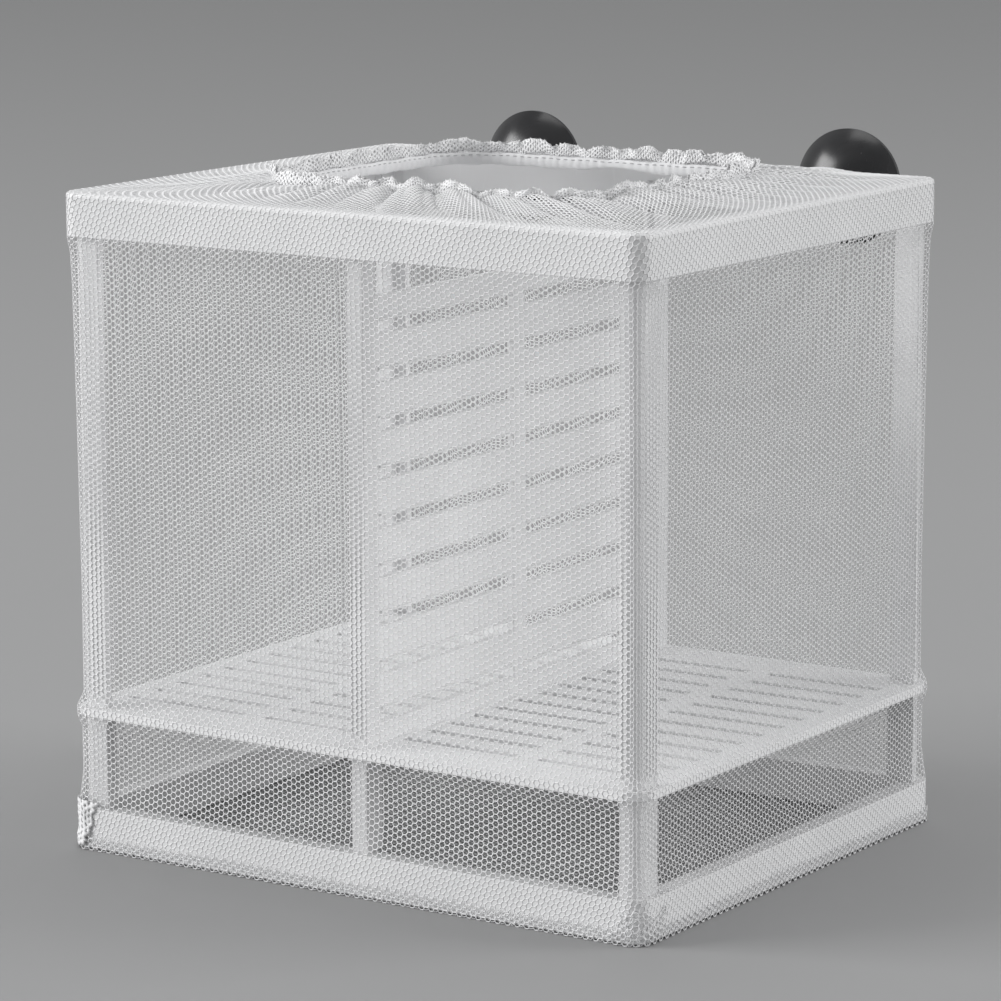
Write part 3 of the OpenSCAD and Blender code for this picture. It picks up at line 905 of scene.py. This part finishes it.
@dataclass(frozen=True)
class PlasticFinish:
    """Injection-moulded plastic with a fine grain and softened edges.

    Attributes:
        name: The material's name.
        low: Colour in the darker flow marks.
        high: Colour elsewhere.
        rough: Roughness.
        bevel: Radius of the softened edges, in metres.
        bump: Strength of the grain.
        scuff: Strength of the small scuffs.
    """

    name: str
    low: tuple[float, float, float]
    high: tuple[float, float, float]
    rough: float = 0.38
    bevel: float = 0.00035
    bump: float = 0.12
    scuff: float = 0.4

    def make(self, effects: Effects) -> bpy.types.Material:
        """Makes the material.

        Args:
            effects: The shared node groups.

        Returns:
            The material.
        """
        material = bpy.data.materials.new(self.name)
        material.use_nodes = True
        graph = Graph(material.node_tree)
        place = graph.add("ShaderNodeTexCoord").outputs["Object"]
        grain = graph.group(effects.grain, Position=place, Scuff=self.scuff)
        colour = graph.mix(grain.outputs["Tone"], self.low, self.high)
        worn = tuple(min(1.0, c * 1.05) for c in self.high)
        colour = graph.mix(grain.outputs["Wear"], colour, worn)
        rough = graph.spread(grain.outputs["Tone"], 0, 1, (self.rough - 0.05, self.rough + 0.05))
        rounded = graph.add("ShaderNodeBevel", samples=4)
        rounded.inputs["Radius"].default_value = self.bevel
        bump = graph.add("ShaderNodeBump", Normal=rounded.outputs[0])
        bump.inputs["Strength"].default_value = self.bump
        bump.inputs["Distance"].default_value = 0.0001
        graph.tree.links.new(grain.outputs["Height"], bump.inputs["Height"])
        shader = graph.add(
            "ShaderNodeBsdfPrincipled",
            Base_Color=colour,
            Roughness=rough,
            Normal=bump.outputs[0],
            IOR=1.5,
        )
        graph.add("ShaderNodeOutputMaterial", Surface=shader.outputs[0])
        return material


@dataclass(frozen=True)
class ThreadFinish:
    """Nylon thread or knitted cloth, with twisted filaments and a soft sheen.

    Attributes:
        name: The material's name.
        low: Colour between the filaments.
        high: Colour on the filaments.
        rough: Roughness.
        sheen: Strength of the sheen.
        filament: Scale of the filaments.
        bump: Strength of the bump.
    """

    name: str
    low: tuple[float, float, float]
    high: tuple[float, float, float]
    rough: float = 0.55
    sheen: float = 0.3
    filament: float = 9000.0
    bump: float = 0.3

    def make(self, effects: Effects) -> bpy.types.Material:
        """Makes the material.

        Args:
            effects: The shared node groups.

        Returns:
            The material.
        """
        material = bpy.data.materials.new(self.name)
        material.use_nodes = True
        graph = Graph(material.node_tree)
        place = graph.add("ShaderNodeTexCoord").outputs["Object"]
        twist = graph.group(effects.twist, Position=place, Filament_Scale=self.filament)
        strand, patch = twist.outputs["Filament"], twist.outputs["Patch"]
        share = graph.maths("ADD", graph.maths("MULTIPLY", strand, 0.55), 0.0)
        share = graph.maths("ADD", share, graph.maths("MULTIPLY", patch, 0.45))
        colour = graph.mix(share, self.low, self.high)
        bump = graph.add("ShaderNodeBump")
        bump.inputs["Strength"].default_value = self.bump
        bump.inputs["Distance"].default_value = 0.00004
        graph.tree.links.new(strand, bump.inputs["Height"])
        rough = graph.spread(patch, 0, 1, (self.rough - 0.08, self.rough + 0.08))
        shader = graph.add(
            "ShaderNodeBsdfPrincipled",
            Base_Color=colour,
            Roughness=rough,
            Normal=bump.outputs[0],
        )
        shader.inputs["Sheen Weight"].default_value = self.sheen
        shader.inputs["Sheen Roughness"].default_value = 0.4
        graph.add("ShaderNodeOutputMaterial", Surface=shader.outputs[0])
        return material


@dataclass(frozen=True)
class RubberFinish:
    """Glossy moulded rubber with a faint bloom.

    Attributes:
        name: The material's name.
        deep: Colour of the clean rubber.
        bloom: Colour where a pale bloom lies on it.
        rough: Roughness of the clean rubber.
    """

    name: str
    deep: tuple[float, float, float]
    bloom: tuple[float, float, float]
    rough: float = 0.2

    def make(self, effects: Effects) -> bpy.types.Material:
        """Makes the material.

        Args:
            effects: The shared node groups.

        Returns:
            The material.
        """
        material = bpy.data.materials.new(self.name)
        material.use_nodes = True
        graph = Graph(material.node_tree)
        place = graph.add("ShaderNodeTexCoord").outputs["Object"]
        grain = graph.group(effects.grain, Position=place, Flow_Scale=90.0, Scuff=0.5)
        film = graph.maths("MULTIPLY", grain.outputs["Tone"], 0.5)
        film = graph.maths("MAXIMUM", film, grain.outputs["Wear"])
        colour = graph.mix(film, self.deep, self.bloom)
        rough = graph.spread(film, 0, 1, (self.rough, self.rough + 0.16))
        bump = graph.add("ShaderNodeBump")
        bump.inputs["Strength"].default_value = 0.06
        bump.inputs["Distance"].default_value = 0.0001
        graph.tree.links.new(grain.outputs["Height"], bump.inputs["Height"])
        shader = graph.add(
            "ShaderNodeBsdfPrincipled",
            Base_Color=colour,
            Roughness=rough,
            Normal=bump.outputs[0],
            IOR=1.52,
        )
        graph.add("ShaderNodeOutputMaterial", Surface=shader.outputs[0])
        return material


@dataclass(frozen=True)
class FloorFinish:
    """Matt pale board, darker round the object and painted paler far away, where the lamps no longer
    reach: the paler colour is painted light.

    Attributes:
        name: The material's name.
        near: Colour round the object.
        far: Colour in the distance, painted paler to stand in for lamp light.
    """

    name: str
    near: tuple[float, float, float] = (0.33, 0.33, 0.332)
    far: tuple[float, float, float] = (0.39, 0.39, 0.39)

    def make(self, effects: Effects) -> bpy.types.Material:
        """Makes the material.

        Args:
            effects: The shared node groups.

        Returns:
            The material.
        """
        material = bpy.data.materials.new(self.name)
        material.use_nodes = True
        graph = Graph(material.node_tree)
        place = graph.add("ShaderNodeTexCoord").outputs["Object"]
        grain = graph.group(effects.grain, Position=place, Flow_Scale=9.0, Scuff=0.0)
        length = graph.add("ShaderNodeVectorMath", operation="LENGTH")
        graph.tree.links.new(place, length.inputs[0])
        # Painted light: the colour grows paler with distance from the object, in place of lamp light
        # that no longer reaches there.
        share = graph.spread(length.outputs["Value"], 0.3, 3.2)
        mottled = graph.maths("MULTIPLY", grain.outputs["Tone"], 0.02)
        colour = graph.mix(graph.maths("ADD", share, mottled), self.near, self.far)
        shader = graph.add("ShaderNodeBsdfPrincipled", Base_Color=colour, Roughness=0.85)
        graph.add("ShaderNodeOutputMaterial", Surface=shader.outputs[0])
        return material


@dataclass
class Cage:
    """The rigid parts: their CAD shapes stay and get moulded finishes."""

    frame_parts: tuple[str, ...] = (
        "top_frame",
        "bottom_frame",
        "corner_post_front_left",
        "corner_post_front_right",
        "corner_post_back_right",
        "corner_post_back_left",
        "mid_rail_front",
        "mid_rail_back",
    )
    panel_parts: tuple[str, ...] = ("floor_shelf", "divider_panel")
    rubber_parts: tuple[str, ...] = ("suction_cup_left", "suction_cup_right")

    def dress(self, nodes: dict[str, bpy.types.Object], effects: Effects) -> None:
        """Puts each finish on its CAD nodes.

        Args:
            nodes: The frame's CAD objects by name.
            effects: The shared node groups.
        """
        frame = PlasticFinish("white_frame", (0.76, 0.76, 0.765), (0.82, 0.82, 0.825))
        panel = PlasticFinish("white_panel", (0.83, 0.83, 0.835), (0.89, 0.89, 0.895), rough=0.45)
        rubber = RubberFinish("black_rubber", (0.012, 0.012, 0.013), (0.03, 0.03, 0.032))
        for names, finish in (
            (self.frame_parts, frame),
            (self.panel_parts, panel),
            (self.rubber_parts, rubber),
        ):
            material = finish.make(effects)
            for name in names:
                mesh = nodes[name].data
                mesh.materials.clear()
                mesh.materials.append(material)
                LOG.info("%s: %s", name, finish.name)


@dataclass
class Studio:
    """Camera, floor and soft lights.

    Attributes:
        height: Height of the box, the camera's unit of length, in metres.
        focal: Focal length in pixels of a picture 1001 pixels wide.
        azimuth: Camera's direction round Z, in radians, from the front to the right.
        elevation: Camera's height above level, in radians.
        roll: Turn of the picture, in radians.
        distance: Distance from the aim, in heights.
        aside: Shift of the aim to the right, in heights.
        above: Shift of the aim upwards, in heights.
    """

    height: float = 0.15
    focal: float = 4301.66
    azimuth: float = 0.587702
    elevation: float = 0.181601
    roll: float = -0.0040318
    distance: float = 6.503293
    aside: float = -0.0078732
    above: float = 0.0170528

    def camera(self) -> None:
        """Makes the camera and takes it for the scene."""
        a, e = self.azimuth, self.elevation
        back = np.array([np.sin(a) * np.cos(e), -np.cos(a) * np.cos(e), np.sin(e)])
        right = unit(np.cross([0, 0, 1], back))
        up = np.cross(back, right)
        aim = np.array([0, 0, 0.5]) + right * self.aside + up * self.above
        place = (aim + back * self.distance) * self.height
        c, s = np.cos(self.roll), np.sin(self.roll)
        turned = np.stack([right * c + up * s, up * c - right * s, back], axis=1)
        data = bpy.data.cameras.new("studio_camera")
        data.sensor_width = 36.0
        data.lens = self.focal * 36.0 / 1001
        data.clip_start, data.clip_end = 0.05, 40.0
        camera = bpy.data.objects.new("studio_camera", data)
        pose = np.eye(4)
        pose[:3, :3], pose[:3, 3] = turned, place
        camera.matrix_world = Matrix(pose.tolist())
        bpy.context.scene.collection.objects.link(camera)
        bpy.context.scene.camera = camera

    def lamp(self, name: str, place: tuple[float, float, float], size: float, power: float) -> None:
        """Adds a square soft light that faces the middle of the box.

        Args:
            name: The lamp's name.
            place: Where it hangs, in metres.
            size: Length of its side, in metres.
            power: Power in watts.
        """
        data = bpy.data.lights.new(name, "AREA")
        data.shape, data.size, data.energy = "SQUARE", size, power
        back = unit(np.array(place) - np.array([0, 0, 0.075]))
        right = unit(np.cross([0, 0, 1], back))
        pose = np.eye(4)
        pose[:3, :3] = np.stack([right, np.cross(back, right), back], axis=1)
        pose[:3, 3] = place
        lamp = bpy.data.objects.new(name, data)
        lamp.matrix_world = Matrix(pose.tolist())
        bpy.context.scene.collection.objects.link(lamp)

    def floor(self, effects: Effects) -> None:
        """Makes the plain floor: a wide grid in a pale, slightly mottled finish, painted paler far
        away in place of lamp light.

        Args:
            effects: The shared node groups.
        """
        steps = np.linspace(-12000, 12000, 9)
        x, y = np.meshgrid(steps, steps, indexing="ij")
        points = np.stack([x, y, 0 * x], axis=-1).reshape(-1, 3)
        a, b = np.meshgrid(np.arange(8), np.arange(8), indexing="ij")
        first = (a * 9 + b).ravel()
        quads = np.stack([first, first + 9, first + 10, first + 1], axis=1)
        floor = make_object("studio_floor", points, quads)
        floor.data.materials.append(FloorFinish("pale_floor").make(effects))

    def world(self) -> None:
        """Sets the pale surroundings."""
        world = bpy.data.worlds.new("pale_room")
        world.use_nodes = True
        graph = Graph(world.node_tree)
        light = graph.add("ShaderNodeBackground")
        light.inputs["Color"].default_value = (0.98, 0.99, 1.0, 1)
        light.inputs["Strength"].default_value = 0.4
        graph.add("ShaderNodeOutputWorld", Surface=light.outputs[0])
        bpy.context.scene.world = world

    def build(self, effects: Effects) -> None:
        """Sets up camera, lights and floor.

        Args:
            effects: The shared node groups.
        """
        scene = bpy.context.scene
        scene.view_settings.view_transform = "Standard"
        self.camera()
        self.lamp("light_left", (-2.9, -2.0, 1.1), 2.2, 124.0)
        self.lamp("light_right", (2.6, 1.85, 0.8), 1.6, 57.0)
        self.lamp("light_above", (0.0, 0.15, 1.4), 0.9, 5.2)
        self.floor(effects)
        self.world()


def main() -> None:
    """Loads the frame, builds the bag and hem, dresses the cage and sets the studio."""
    logging.basicConfig(level=logging.INFO, format="%(name)s %(message)s")
    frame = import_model()
    effects = Effects()
    Studio().build(effects)
    Cage().dress(frame["nodes"], effects)
    nylon = ThreadFinish("nylon_net", (0.84, 0.84, 0.85), (0.94, 0.94, 0.945), sheen=0.15)
    cloth = ThreadFinish(
        "hem_cloth", (0.74, 0.74, 0.75), (0.86, 0.86, 0.87), rough=0.7, filament=2600.0, bump=0.5
    )
    # The stitches are real thread, but their grey colour is painted shade standing in for the shadows
    # along the stitch line.
    thread = ThreadFinish("stitch_thread_painted_shade", (0.42, 0.42, 0.43), (0.56, 0.56, 0.57), rough=0.6)
    bag = NetBag()
    bag.build(nylon.make(effects))
    Hem().build(cloth.make(effects), thread.make(effects), bag.frill)


if __name__ == "__main__":
    main()
